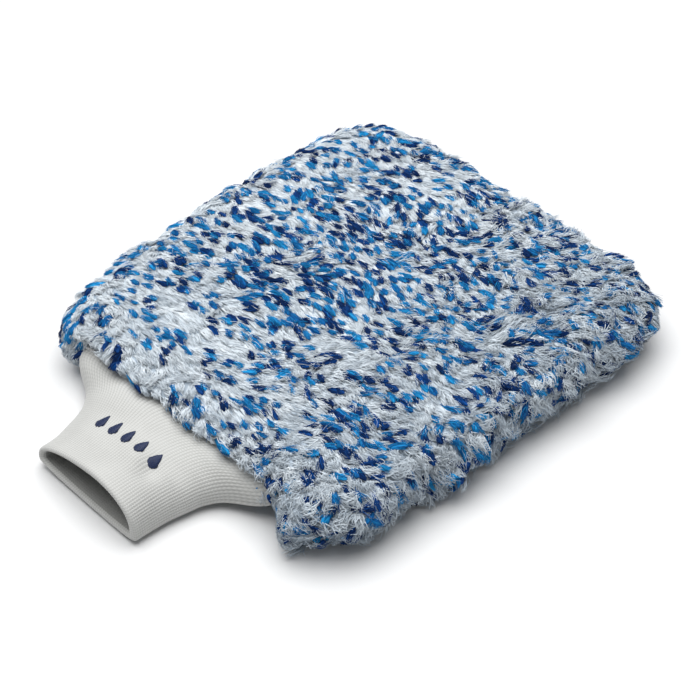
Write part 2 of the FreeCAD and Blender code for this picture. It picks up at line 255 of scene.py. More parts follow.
def fibre_material(name, dark, middle, light, shares=(0.3, 0.3, 0.5), strength=0.3, sheen=0.1):
    """Brushed fibre with streaks along it. shares are the weights of the fibre's own shade (its
    column in the UV grid), of the streaks and of the tuft's shade (its row)."""
    mat, tree, shader = new_material(name, 0.85, sheen=sheen, specular=0.12)
    uv, u, v = uv_parts(tree)
    shades = []
    for part in (u, v):
        number = maths(tree, "FLOOR", maths(tree, "MULTIPLY", part, float(ATLAS)))
        shades.append(maths(tree, "DIVIDE", number, ATLAS - 1.0))
    stretch = tuple(count * ATLAS for count in STREAKS) + (1,)
    stretched = node(tree, "ShaderNodeVectorMath", {0: uv, 1: stretch}, operation="MULTIPLY")
    streak = noise(tree, stretched.outputs[0], 0.8, 3.0, 0.6)
    streaks = maths(tree, "MULTIPLY", streak, shares[1])
    tone = maths(tree, "MULTIPLY_ADD", shades[0], shares[0], streaks)
    tone = maths(tree, "MULTIPLY_ADD", shades[1], shares[2], tone)
    stops = [(0.1, dark), (0.6, middle), (0.95, light)]
    finish_material(tree, shader, tone, stops, streak, strength, 0.2)
    return mat


WHITE = fibre_material("white_microfibre",
                       (0.31, 0.37, 0.435), (0.64, 0.70, 0.75), (0.74, 0.785, 0.82))
BLUE = fibre_material("blue_microfibre",
                      (0.002, 0.032, 0.13), (0.004, 0.10, 0.31), (0.014, 0.26, 0.56),
                      shares=(0.6, 0.6, 0.35), strength=0.6, sheen=0.03)
NAVY = fibre_material("navy_microfibre",
                      (0.001, 0.007, 0.033), (0.0015, 0.02, 0.095), (0.004, 0.065, 0.27),
                      shares=(0.5, 0.6, 0.25), strength=0.6, sheen=0.02)


def knit_material(name, dark, light, ribs, stitches, painted_shade_from):
    """Rib knit: rounded ribs along the length, with a chain of small V stitches on each. From a
    given v on, up the UV map, lies the inner layer, painted darker as painted shade inside the
    cuff."""
    mat, tree, shader = new_material(name, 0.9, sheen=0.25, specular=0.15)
    uv, u, v = uv_parts(tree)
    rib = maths(tree, "FRACT", maths(tree, "MULTIPLY", u, float(ribs)))
    off = maths(tree, "ABSOLUTE", maths(tree, "SUBTRACT", rib, 0.5))
    rows = maths(tree, "MULTIPLY_ADD", v, float(stitches), maths(tree, "MULTIPLY", off, 0.9))
    groove = maths(tree, "POWER", maths(tree, "MULTIPLY", off, 2.0), 2.0)
    fuzz = noise(tree, uv, 420.0, 3.0, 0.7)
    cloud = noise(tree, uv, 7.0, 2.0)
    height = maths(tree, "SUBTRACT", maths(tree, "MULTIPLY", cycle(tree, rows), 0.55), groove)
    height = maths(tree, "MULTIPLY_ADD", fuzz, 0.5, height)
    tone = maths(tree, "MULTIPLY_ADD", height, 0.28, 0.42)
    tone = maths(tree, "MULTIPLY_ADD", cloud, 0.25, tone)
    # painted shade: past that v the inner layer's tone is lowered
    inner = maths(tree, "GREATER_THAN", v, painted_shade_from)
    tone = maths(tree, "SUBTRACT", tone, maths(tree, "MULTIPLY", inner, 0.5))
    finish_material(tree, shader, tone, [(0.2, dark), (0.7, light)], height, 0.5, 0.22)
    return mat


def weave_material(name, dark, light, threads):
    """Plain warp knit: fine wales crossed by courses."""
    mat, tree, shader = new_material(name, 0.9, sheen=0.2, specular=0.15)
    uv, u, v = uv_parts(tree)
    a = maths(tree, "SINE", maths(tree, "MULTIPLY", u, 2 * math.pi * threads))
    b = maths(tree, "SINE", maths(tree, "MULTIPLY", v, 2 * math.pi * threads * 0.7))
    fuzz = noise(tree, uv, 60.0, 3.0)
    height = maths(tree, "MULTIPLY_ADD", maths(tree, "MULTIPLY", a, b), 0.3, fuzz)
    finish_material(tree, shader, height, [(0.2, dark), (0.8, light)], height, 0.4, 0.15)
    return mat


def thread_material(name, dark, light, roughness, sheen):
    """Twisted thread: fine diagonal plies under a little fuzz."""
    mat, tree, shader = new_material(name, roughness, sheen=sheen, specular=0.4)
    uv, u, v = uv_parts(tree)
    plies = maths(tree, "MULTIPLY_ADD", v, 60.0, maths(tree, "MULTIPLY", u, 6.0))
    ply = cycle(tree, plies)
    fuzz = noise(tree, uv, 40.0, 2.0)
    tone = maths(tree, "MULTIPLY_ADD", ply, 0.45, maths(tree, "MULTIPLY", fuzz, 0.6))
    finish_material(tree, shader, tone, [(0.2, dark), (0.8, light)], ply, 0.35, 0.08)
    return mat


KNIT = knit_material("rib_knit", (0.28, 0.28, 0.268), (0.475, 0.475, 0.458),
                     ribs=TOP_RIBS + UNDER_RIBS, stitches=98, painted_shade_from=0.515)
CLOTH = weave_material("ground_cloth", (0.50, 0.53, 0.56), (0.68, 0.70, 0.72), threads=90)
LINING = weave_material("lining_knit", (0.48, 0.49, 0.49), (0.62, 0.63, 0.63), threads=120)
SEAM_THREAD = thread_material("seam_thread", (0.5, 0.5, 0.5), (0.72, 0.72, 0.72),
                              roughness=0.6, sheen=0.3)
NAVY_THREAD = thread_material("navy_thread", (0.003, 0.008, 0.033), (0.008, 0.021, 0.08),
                              roughness=0.45, sheen=0.08)


# ---------------------------------------------------------------- the pile's outer shape

SEAM_Z = 18.0                            # where the upper and the lower half meet
CENTRE_X, HALF_LENGTH = 18.6, 119.2      # of the plan
HALF_WIDTH, TAPER = 105.8, 0.00030       # the plan widens towards the finger end
CORNER_POWER = 6.0                       # how square the plan's corners are
RIM_POWER = 13.0                         # how far out the two faces stay flat
RISE, DROP = 16.6, 18.0                  # heights of the two halves
TOP_POWER, BOTTOM_POWER = 2.1, 2.6       # how square their sides are
LEVEL_POWER = 0.125                      # keeps the level's slope even near the surface
CUFF_MIDDLE_Y = 12.0
PRESSED_Z = 3.0                          # fibres under this height are pressed on the table

SWELL, SINK = 1.5, 0.6                   # slow swells of the top, and how far it all sinks
RIPPLE = (0.5, 1.7)                      # ripples of combed pile, and what tousled pile adds
EDGE_RIPPLE = (1.1, 1.6)                 # the same for the edge
LIP_BACK, UNDER_LIP, LOWER_BACK = 6.5, 10.0, 6.0     # how far the mouth's edge is set back
FLAP_Y, FLAP_REACH, FLAP_SIZE = -73, 10, 6.5         # the near corner's tufts beside the cuff


def plan_share(x, y):
    """0 in the middle of the mitt's plan, 1 on its outline."""
    a = np.abs((x - CENTRE_X) / HALF_LENGTH)
    b = np.abs(y / (HALF_WIDTH * (1 + TAPER * (x - CENTRE_X))))
    return (a**CORNER_POWER + b**CORNER_POWER) ** (1 / CORNER_POWER)


undulation = waves(11, 9, 45, 130)
ripple = waves(12, 20, 13, 32)
ripple_out = waves(13, 16, 14, 40)

# Where the mitt's edge swells out or is pressed in: x, y, reach and size of each.
EDGE_SWELLS = ((5, 106, 40, 2.8), (-92, 92, 26, -2.5), (138, 0, 42, -3.4), (132, -98, 18, 1.5),
               (-46, -106, 20, -4.0))


def edge_swell(p):
    """How far the swells move the edge outwards at each point."""
    return sum(size * np.exp(-((p[..., 0] - x) ** 2 + (p[..., 1] - y) ** 2) / reach**2)
               for x, y, reach, size in EDGE_SWELLS)


def outward_of(p):
    """Level directions away from the middle of the plan."""
    return unit(np.stack([p[..., 0] - CENTRE_X, p[..., 1], 0 * p[..., 0]], axis=-1))


def warp(p, upper):
    """Moves points of the plain pillow to where the soft cloth lies: gentle swells on top, a wavy
    edge that is pulled in on the near side, and a lip over the cuff, set back under its top."""
    p = p.copy()
    share = plan_share(p[..., 0], p[..., 1])
    height = np.clip(np.abs(p[..., 2] - SEAM_Z) / DROP, 0, 1)
    if upper:
        swell = SWELL * undulation(p) + (RIPPLE[0] + RIPPLE[1] * fluffiness(p)) * ripple(p) - SINK
        p[..., 2] += swell * height * (0.35 + 0.65 * (1 - share**8))
    pulled_in = smooth_step(50, -50, p[..., 1]) * (2.0 + 2.2 * smooth_step(20, 8, p[..., 2])) - 0.6
    wave = (EDGE_RIPPLE[0] + EDGE_RIPPLE[1] * fluffiness(p)) * ripple_out(p)
    bulge = wave - pulled_in + edge_swell(p)
    p += outward_of(p) * (bulge * share**6)[..., None]
    across = p[..., 1] - CUFF_MIDDLE_Y
    beside = 1 - smooth_step(52, 76, np.where(across < 0, -across - 10, across))
    near = smooth_step(-40, -100, p[..., 0])
    back = LIP_BACK + (UNDER_LIP * smooth_step(29, 22, p[..., 2]) if upper else LOWER_BACK)
    p[..., 0] += back * beside * near
    flap = np.exp(-(((p[..., 1] - FLAP_Y) / FLAP_REACH) ** 2)) * smooth_step(18, 6, p[..., 2])
    p[..., 0] -= FLAP_SIZE * flap * smooth_step(-80, -98, p[..., 0])
    flattened = PRESSED_Z * np.exp(np.minimum(p[..., 2] / PRESSED_Z - 1, 0))
    p[..., 2] = np.where(p[..., 2] < PRESSED_Z, flattened, p[..., 2])
    return p


def pillow_level(side_up, p):
    """1 on the surface of the plain pillow, less inside it and more outside."""
    share = plan_share(p[..., 0], p[..., 1])
    size, power = (RISE, TOP_POWER) if side_up else (DROP, BOTTOM_POWER)
    return (share**RIM_POWER + np.abs((p[..., 2] - SEAM_Z) / size) ** power) ** LEVEL_POWER


def slope_of(side_up, p):
    """The pillow's level at each point, and the way and rate it rises."""
    step = 0.05
    base = pillow_level(side_up, p)
    slope = [pillow_level(side_up, p + step * axis) - base for axis in np.eye(3)]
    return base, np.stack(slope, axis=-1) / step


def onto_pillow(side_up, p):
    """The points moved onto the plain pillow, with their normals."""
    for _ in range(3):       # Newton's steps
        level, slope = slope_of(side_up, p)
        p = p - ((level - 1) / np.maximum((slope**2).sum(axis=-1), 1e-9))[..., None] * slope
    if side_up:
        p[..., 2] = np.maximum(p[..., 2], SEAM_Z)
    else:
        p[..., 2] = np.minimum(p[..., 2], SEAM_Z)
    _, slope = slope_of(side_up, p)
    return p, unit(slope)


def pillow_points(side_up, amount, own):
    """Random points spread over one half of the pillow, with their normals."""
    size, power = (RISE, TOP_POWER) if side_up else (-DROP, BOTTOM_POWER)
    flat_share = 0.94        # the face's points lie within it, and the side's points beyond
    reach = 1.15 * HALF_LENGTH
    flat = own.uniform(-reach, reach, size=(amount, 2))
    flat[:, 0] += CENTRE_X
    share = plan_share(flat[:, 0], flat[:, 1])
    flat, share = flat[share < flat_share], share[share < flat_share]
    top = np.column_stack([flat, SEAM_Z + size * (1 - share**RIM_POWER) ** (1 / power)])
    turn = own.uniform(0, 2 * math.pi, size=amount // 2)
    rise = own.uniform(0, 1, size=turn.size) * (1 - flat_share**RIM_POWER) ** (1 / power)
    edge = on_outline(turn, (1 - rise**power) ** (1 / RIM_POWER))
    side = np.column_stack([edge, SEAM_Z + rise * size])
    return onto_pillow(side_up, np.concatenate([top, side]))


def on_outline(turn, share):
    """Places in plan that lie in a direction from the middle, at a share of the way out."""
    far = np.full(turn.shape, 100.0)
    for _ in range(14):      # each round comes closer to the share
        far = far * share / plan_share(CENTRE_X + np.cos(turn) * far, np.sin(turn) * far)
    return np.stack([CENTRE_X + np.cos(turn) * far, np.sin(turn) * far], axis=-1)


def spread(points, gap):
    """Keeps points that are at least a gap apart, in the order given."""
    grid = {}
    kept = []
    cells = np.floor(points / gap).astype(int)
    around = [(i, j, k) for i in (-1, 0, 1) for j in (-1, 0, 1) for k in (-1, 0, 1)]
    for number, (cell, point) in enumerate(zip(cells.tolist(), points.tolist())):
        rivals = (other for i, j, k in around
                  for other in grid.get((cell[0] + i, cell[1] + j, cell[2] + k), ()))
        if all(sum((a - b) ** 2 for a, b in zip(other, point)) >= gap * gap for other in rivals):
            grid.setdefault(tuple(cell), []).append(point)
            kept.append(number)
    return np.array(kept)


lean_field = [waves(21 + axis, 10, 24, 75) for axis in range(3)]


def fluffiness(p):
    """0 where the pile is combed flat, 1 where it is tousled: at the edges and the finger end."""
    share = plan_share(p[..., 0], p[..., 1])
    near_side = smooth_step(40, -90, p[..., 1])
    finger_end = smooth_step(0, 110, p[..., 0]) * smooth_step(70, -30, p[..., 1])
    edge = smooth_step(0.78, 1.0, share) * (0.75 - 0.35 * smooth_step(-20, 80, p[..., 1]))
    return np.clip(edge + 0.35 * near_side + 0.3 * finger_end + 0.25 * lean_field[0](p * 0.8), 0, 1)


def flow(p, n):
    """The way that the pile lies at each point: combed across the mitt, turned by smooth noise,
    and hanging down at the sides."""
    turned = np.stack([field(p) for field in lean_field], axis=-1)
    share = plan_share(p[..., 0], p[..., 1])[..., None]
    loose = fluffiness(p)[..., None]
    steepness = 1 - np.abs(n[..., 2:3])
    combed = np.zeros(p.shape)
    combed[..., 0] = 0.05 - 0.3 * smooth_step(-60, 120, p[..., 0])
    combed[..., 1] = -1.0
    pull = combed * (1 - 0.6 * steepness)
    pull = pull + (0.2 + 0.55 * loose) * turned + 0.9 * outward_of(p) * share**5
    pull = pull + steepness * np.array([0.0, 0.0, -1.1])
    return unit(pull - n * (pull * n).sum(axis=-1, keepdims=True))


# ---------------------------------------------------------------- tufts

LIP_X, LIP_HALF_WIDTH = -84, 66          # tufts rooted past this lie over the cuff's joint
SPARSEST = -0.85                         # coloured chips are left out where they'd be sparser
WITH_PARTNER = 0.55                      # the share of coloured chips with one close beside them
SAME_COLOUR = 0.3                        # the share of those whose colour is the same


def lay_over(upper, root, f, n, along, lateral, height):
    """Points of fibres: moved along and across the flow over the pillow, then raised off it."""
    b = np.cross(n, f)
    p = root[:, None] + along[..., None] * f[:, None] + lateral[..., None] * b[:, None]
    p, normal = onto_pillow(upper, p)
    return p + height[..., None] * normal, normal


class Tufts:
    """One kind of tuft on one side of the mitt. Each has a root on the pillow, a normal n there
    and a direction f that it lies in. It starts at a depth under the pillow, and its tip lifts off
    it. flat is its thickness as a share of its width, and loose is how tousled it is."""

    def __init__(self, upper, root, n, f, own, length, width, flat, depth, lift, loose, shade=None):
        self.upper, self.root, self.n, self.f, self.own = upper, root, n, f, own
        self.length, self.width, self.flat = length, width, flat
        self.depth, self.lift, self.loose = depth, lift, loose
        self.amount = len(root)
        # the row in the UV grid is the tuft's shade: any one, or one near the given shade
        self.row = own.integers(0, ATLAS, self.amount)
        if shade is not None:
            self.row = np.clip(np.round(shade + own.normal(0, 1.6, self.amount)), 0, ATLAS - 1)
        self.wave = own.uniform(*ANY_TURN, self.amount)

    def centre(self, t, who):
        """Along, lateral and height of those tufts' middle lines, at t from root to tip."""
        along = self.length[who, None] * (t - 0.42)
        height = -self.depth[who, None] * (1 - t) ** 2.2 + self.lift[who, None] * t**2
        lateral = 0.7 * self.loose[who, None] * np.sin(2.6 * t + self.wave[who, None])
        return along, lateral, height

    def cores(self, sides, count, blunt):
        """A ridged solid tube for each tuft."""
        own, every = self.own, np.arange(self.amount)
        t = np.linspace(0, 1, count)[None]
        along, lateral, height = self.centre(t, every)
        path, normal = lay_over(self.upper, self.root, self.f, self.n, along, lateral, height)
        across, up = frames_along(path, normal)
        # widest in the middle and narrow at both ends, the tip most of all
        profile = 0.82 * np.sin(math.pi * (0.12 + 0.78 * t)) ** blunt
        profile[:, -1] *= 0.55
        half_a = 0.5 * self.width[:, None] * profile * own.uniform(0.8, 1.0, (self.amount, 1))
        half_b = half_a * self.flat[:, None]
        ridge = 1 + own.uniform(-0.2, 0.15, (self.amount, sides))
        twist = own.uniform(*ANY_TURN, (self.amount, 1))
        rings = ring_points(path, across, up, half_a, half_b, sides, ridge, twist)
        cells = np.column_stack([own.integers(0, ATLAS, self.amount), self.row])
        return warp(rings, self.upper), cells

    def fibres(self, each, count, thickness, splay, curl, rough):
        """Loose fibres round each tuft's middle line, with the number of the tuft each is in.
        splay is how far their tips spread, curl how much they wave, rough how uneven they lie."""
        own = self.own
        who = np.repeat(np.arange(self.amount), each)
        total = len(who)
        t = (np.linspace(0, 1, count) ** 0.8)[None]
        along, lateral, height = self.centre(t, who)
        reach = own.uniform(0.75, 1.12, (total, 1))
        radius = np.sqrt(own.uniform(0.05, 1, (total, 1)))
        place = own.uniform(0, 2 * math.pi, (total, 1))
        half = 0.5 * self.width[who, None]
        beside = radius * np.cos(place)
        side = beside * half * (0.75 + (splay - 0.75) * t**1.6)
        rise = np.sqrt(np.clip(1.05 - beside**2, 0, 1)) * half * self.flat[who, None]
        rise = rise * (0.35 + 0.65 * np.sin(place) ** 2)
        rise = rise * np.sin(math.pi * np.clip(0.1 + 0.85 * t, 0, 1)) ** 0.6
        along = along * reach + own.normal(0, 0.16, (total, 1)) * half
        lean = own.normal(0, 0.12, (total, 1))
        lean = lean + own.normal(0, 0.3, (total, 1)) * self.loose[who, None]
        lateral = lateral + lean * along

        def wiggle():
            return np.sin(t * own.uniform(3, 8, (total, 1)) + own.uniform(*ANY_TURN, (total, 1)))

        bend = curl * (0.35 + self.loose[who, None]) * t
        lateral = lateral + side + bend * wiggle()
        height = height + rise + own.normal(0, rough, (total, 1)) * (0.4 + 0.6 * t)
        height = height + bend * 0.7 * wiggle()
        path, normal = lay_over(self.upper, self.root[who], self.f[who], self.n[who],
                                along, lateral, height)
        across, up = frames_along(path, normal)
        taper = np.interp(t, [0, 0.6, 1], [1.0, 0.9, 0.3])
        radius = own.uniform(*thickness, (total, 1)) * taper
        twist = own.uniform(*ANY_TURN, (total, 1))
        rings = ring_points(path, across, up, radius, radius * 0.8, 3, twist=twist)
        cells = np.column_stack([own.integers(0, ATLAS, total), self.row[who]])
        return warp(rings, self.upper), cells, who

    def make(self, name, mat, cores, fibres):
        """cores and fibres hold what the methods of those names take. cores may be None."""
        middle = self.root[:, 1] - CUFF_MIDDLE_Y
        lip = (self.root[:, 0] < LIP_X) & (np.abs(middle) < LIP_HALF_WIDTH) & self.upper
        fibre_rings, fibre_cells, who = self.fibres(**fibres)
        made = [(fibre_rings, fibre_cells, lip[who], "_fibres")]
        if cores:
            made.append((*self.cores(**cores), lip, ""))
        for rings, cells, chosen, label in made:
            pile_pieces(name + label, rings[~chosen], mat, cells[~chosen], "pouch")
            if chosen.any():
                pile_pieces(name + label + "_lip", rings[chosen], mat, cells[chosen], None)


def scattered(upper, tried, gap, own):
    """Roots of tufts at least a gap apart, with their normals."""
    points, normals = pillow_points(upper, tried, own)
    order = own.permutation(len(points))
    points, normals = points[order], normals[order]
    kept = spread(points, gap)
    return points[kept], normals[kept]


def tousled_flow(p, n, even, uneven, own):
    """The flow, turned at random: by even on combed pile, and by uneven more on tousled pile."""
    f = flow(p, n)
    turn = own.normal(0, even + uneven * fluffiness(p)[:, None], (len(p), 1))
    return unit(f * np.cos(turn) + np.cross(n, f) * np.sin(turn))


def white_pile(prefix, upper, gap, each, seed):
    """White tufts of that many fibres each, at least a gap apart, with a few stray fibres."""
    own = np.random.default_rng(seed)
    p, n = scattered(upper, 60000, gap, own)
    amount = len(p)
    loose = fluffiness(p)
    f = tousled_flow(p, n, 0.16, 0.6, own)
    length = own.uniform(8.5, 12.5, amount) - 2.5 * loose
    width = own.uniform(7.5, 10.0, amount) * gap / 4.4
    flat = own.uniform(0.06, 0.14, amount) + 0.25 * loose
    depth = own.uniform(1.0, 1.8, amount) + 1.6 * loose
    lift = own.uniform(-0.5, 0.5, amount) + 4.5 * loose * own.uniform(0, 1, amount) ** 1.5
    if not upper:
        lift = lift - 1.0
    # painted shade: tufts low on the sides and near ones get darker rows, far ones lighter rows
    low = smooth_step(0.15, 0.95, 1 - n[:, 2]) * smooth_step(32, 14, p[:, 2])
    far = smooth_step(0, 150, p[:, 0] + p[:, 1])
    near = smooth_step(10, -100, p[:, 1])
    shade = 4.8 - 5.0 * low + 2.0 * far - 3.0 * near
    tufts = Tufts(upper, p, n, f, own, length, width, flat, depth, lift, loose, shade)
    tufts.make(prefix + "_white_tufts", WHITE, None,
               dict(each=each, count=5 if upper else 4, thickness=(0.18, 0.31),
                    splay=0.55, curl=1.5, rough=0.25))
    few = own.permutation(amount)[: amount // 3]
    stray = Tufts(upper, p[few], n[few], f[few], own, length[few] + 4.0, width[few],
                  flat[few] + 0.2, depth[few], lift[few] + 1.2, np.full(len(few), 0.6),
                  shade[few] + 1)
    stray.make(prefix + "_stray_tufts", WHITE, None,
               dict(each=2, count=7, thickness=(0.09, 0.15), splay=1.2, curl=2.2, rough=0.3))


def coloured_pile(prefix, upper, gap, each, seed):
    """Blue and navy chips: cores with that many fibres each, many of them in pairs."""
    own = np.random.default_rng(seed)
    p, n = scattered(upper, 30000, gap, own)
    # more chips past the middle, fewer beside the cuff on the far side and at the far corner, and
    # patches with few of them everywhere
    crowd = 1.25 * smooth_step(-60, 50, p[:, 0]) * smooth_step(-90, 30, p[:, 1]) - 0.82
    crowd = crowd - 0.15 * smooth_step(20, -80, p[:, 0]) * smooth_step(-20, 60, p[:, 1])
    crowd = crowd + 0.3 * smooth_step(0, -80, p[:, 1]) * smooth_step(-60, 30, p[:, 0])
    crowd = crowd - 0.85 * smooth_step(60, 150, p[:, 0] + p[:, 1])
    density = 0.25 * waves(seed + 5, 10, 16, 45)(p) + own.normal(0, 0.45, len(p)) + crowd
    p, n = p[density > SPARSEST], n[density > SPARSEST]
    paired = own.uniform(size=len(p)) < WITH_PARTNER
    f = flow(p, n)
    beside = np.cross(n, f)[paired]
    step = own.uniform(2.0, 3.6, (paired.sum(), 1)) * own.choice([-1, 1], (paired.sum(), 1))
    ahead = own.uniform(-4.5, 4.5, (paired.sum(), 1))
    partner, partner_n = onto_pillow(upper, p[paired] + beside * step + f[paired] * ahead)
    patches = waves(seed + 9, 12, 9, 26)(p) + own.normal(0, 0.6, len(p))
    navy = patches > 0.12 + 0.5 * smooth_step(-30, 80, p[:, 1])
    same = own.uniform(size=paired.sum()) < SAME_COLOUR
    blue = np.concatenate([~navy, navy[paired] ^ same])
    p, n = np.concatenate([p, partner]), np.concatenate([n, partner_n])
    f = tousled_flow(p, n, 0.22, 0.35, own)
    for label, chosen, mat in (("blue", blue, BLUE), ("navy", ~blue, NAVY)):
        q = chosen.nonzero()[0]
        amount = len(q)
        size = 1.13 - 0.08 * smooth_step(-100, 130, p[q, 0])
        loose = fluffiness(p[q])
        length = own.uniform(6.0, 11.0, amount) * size
        width = own.uniform(2.5, 4.5, amount) * size
        flat = own.uniform(0.6, 0.85, amount)
        depth = own.uniform(1.0, 2.4, amount) * (1 - 0.6 * loose)
        lift = own.uniform(-0.2, 0.8, amount) + own.uniform(0.6, 2.6, amount) * loose
        if not upper:
            lift = lift - 1.5
        tufts = Tufts(upper, p[q], n[q], f[q], own, length, width, flat, depth, lift + 0.4,
                      0.3 + 0.4 * loose)
        tufts.make(f"{prefix}_{label}_tufts", mat, dict(sides=8, count=7, blunt=0.6),
                   dict(each=each, count=4, thickness=(0.15, 0.26), splay=1.2, curl=0.9,
                        rough=0.25))


def pile_mass(name, upper, node_name):
    """The dense mass of fibres under the tufts, as a closed shell."""
    around, rim, inner = 400, 18, 60
    turn = np.arange(around) * 2 * math.pi / around
    size, power = (RISE, TOP_POWER) if upper else (-DROP, BOTTOM_POWER)
    zs = np.sin(np.linspace(0, 1, rim) * math.pi / 2) * 0.94
    shares = list((1 - zs**power) ** (1 / RIM_POWER))
    shares += list(np.linspace(shares[-1], 0.02, inner)[1:])
    flat = np.array([on_outline(turn, share) for share in shares])
    height = (1 - np.clip(np.array(shares), 0, 1) ** RIM_POWER) ** (1 / power)
    height = np.broadcast_to(height[:, None], flat.shape[:2])
    rings = np.concatenate([flat, (SEAM_Z + size * height)[..., None]], axis=-1)
    _, n = onto_pillow(upper, rings)
    under_tufts, lumps = 1.1, 0.35
    rings = warp(rings - under_tufts * n, upper)
    rings = rings + n * (lumps * waves(31, 30, 4, 9)(rings))[..., None]
    middle = np.array([CENTRE_X, 0])
    back = rings[::-1].copy()
    back[..., 2] = SEAM_Z + (1.0 if upper else -1.0)
    back[..., :2] = middle + (back[..., :2] - middle) * 0.96
    shell = np.concatenate([rings, back])
    if not upper:
        shell = shell[:, ::-1]
    # painted shade: all its UVs lie in the grid's first cell, the dark end of the white fibre's
    # tones
    piece = tube_mesh(name, shell[None], WHITE)
    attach(piece, "pouch")
    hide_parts(node_name)


# ---------------------------------------------------------------- the knitted cuff

# Each station along the cuff: x, far edge, near edge, crest, crease height, underside, how far the
# crest leans to the near side, and the power of the top's arch, where less is squarer.
CUFF_STATIONS = np.array([
    (-139.0, 47.2, -22.6, 27.2, 6.2, 1.0, 9.0, 0.96),
    (-134.0, 47.0, -22.8, 27.0, 6.2, 0.8, 9.0, 0.96),
    (-128.0, 47.4, -23.2, 26.8, 6.2, 0.6, 8.5, 0.98),
    (-120.0, 49.5, -24.4, 26.4, 6.3, 0.6, 7.5, 0.98),
    (-112.0, 51.5, -26.6, 26.0, 6.3, 0.6, 6.0, 0.96),
    (-106.0, 54.0, -28.0, 25.8, 6.4, 0.8, 5.0, 0.92),
    (-98.5, 60.0, -33.0, 25.4, 7.2, 1.6, 3.0, 0.8),
    (-94.5, 67.5, -41.0, 25.2, 9.4, 3.0, 1.5, 0.7),
    (-91.0, 75.0, -51.0, 25.0, 11.5, 5.0, 0.0, 0.62),
    (-86.0, 78.0, -57.0, 24.6, 15.0, 8.5, 0.0, 0.6),
    (-84.0, 78.0, -57.0, 24.6, 15.5, 9.0, 0.0, 0.6),
])
RIM_X, RIM_RADIUS = -139.0, 1.9
HIDDEN_X = -84.5             # the knit ends here, inside the pouch
RIB_DEPTH = 0.28
MOUTH_SHEAR = 0.028          # how far the mouth is turned in plan
WAVE_SIZE = 0.45
DENT_DEPTH, RIDGE_HEIGHT = 2.8, 1.2
GATHER = 0.6                 # how far a section's points are gathered towards its two creases
cuff_wave = waves(41, 8, 18, 45)


def station_at(x):
    """The cuff's section values at an x, smoothed between the stations."""
    window = np.linspace(-2.5, 2.5, 9)
    at = np.clip(np.asarray(x)[..., None] + window, RIM_X, HIDDEN_X + 0.5)
    return [np.interp(at, CUFF_STATIONS[:, 0], column).mean(axis=-1)
            for column in CUFF_STATIONS.T[1:]]


def cuff_section(x, inset, phi):
    """Points of the cuff's section at x, an inset inside its outer face. phi runs from the far
    crease over the top to the near crease at pi, and back along the underside."""
    far, near, crest, crease, under, skew, power = station_at(x)
    middle, half = (far + near) / 2, (far - near) / 2 - 1.1 * inset
    crease, crest, under = crease + 0.5 * inset, crest - inset, under + 0.9 * inset
    s = np.abs(np.sin(phi))
    y = middle + half * np.cos(phi) - skew * s**2
    top = crease + (crest - crease) * s**power
    low = crease - (crease - under) * s**0.5
    return y, np.where(np.sin(phi) >= 0, top, low)


def cuff_ring(x, inset):
    """One ring of the cuff, with its ribs evenly spaced along the top and along the underside."""
    places = []
    for start, ribs in ((0.0, TOP_RIBS), (math.pi, UNDER_RIBS)):
        ease = np.linspace(0, 1, 1500)
        gathered = 0.999 * np.sin(2 * math.pi * ease) / (2 * math.pi) * GATHER
        phi = start + math.pi * (ease - gathered)
        y, z = cuff_section(x, inset, phi)
        # the sine at pi is a hair above 0, so the underside's first height is its second
        z = np.where((phi == start) & (start > 0), z[1], z)
        run = np.concatenate([[0], np.cumsum(np.hypot(np.diff(y), np.diff(z)))])
        at = np.arange(ribs * RIB_SAMPLES) / (ribs * RIB_SAMPLES) * run[-1]
        places.append(np.column_stack([np.interp(at, run, y), np.interp(at, run, z)]))
    return np.concatenate(places)


def soften(points):
    """The soft look of the cuff: slow waves, and a dent with a ridge beside it on its top."""
    p = points.copy()
    p[..., 0] += MOUTH_SHEAR * (p[..., 1] - 35) * smooth_step(-112, RIM_X, p[..., 0])
    top = smooth_step(8, 18, p[..., 2])
    p[..., 2] += WAVE_SIZE * cuff_wave(p) * top
    dent = np.hypot((p[..., 0] + 119) / 6.0, (p[..., 1] + 9) / 4.5)
    p[..., 2] -= DENT_DEPTH * np.exp(-dent**2) * top
    ridge = np.hypot((p[..., 0] + 119) / 3.5, (p[..., 1] + 1.5) / 7.0)
    p[..., 2] += RIDGE_HEIGHT * np.exp(-ridge**2) * top
    return p


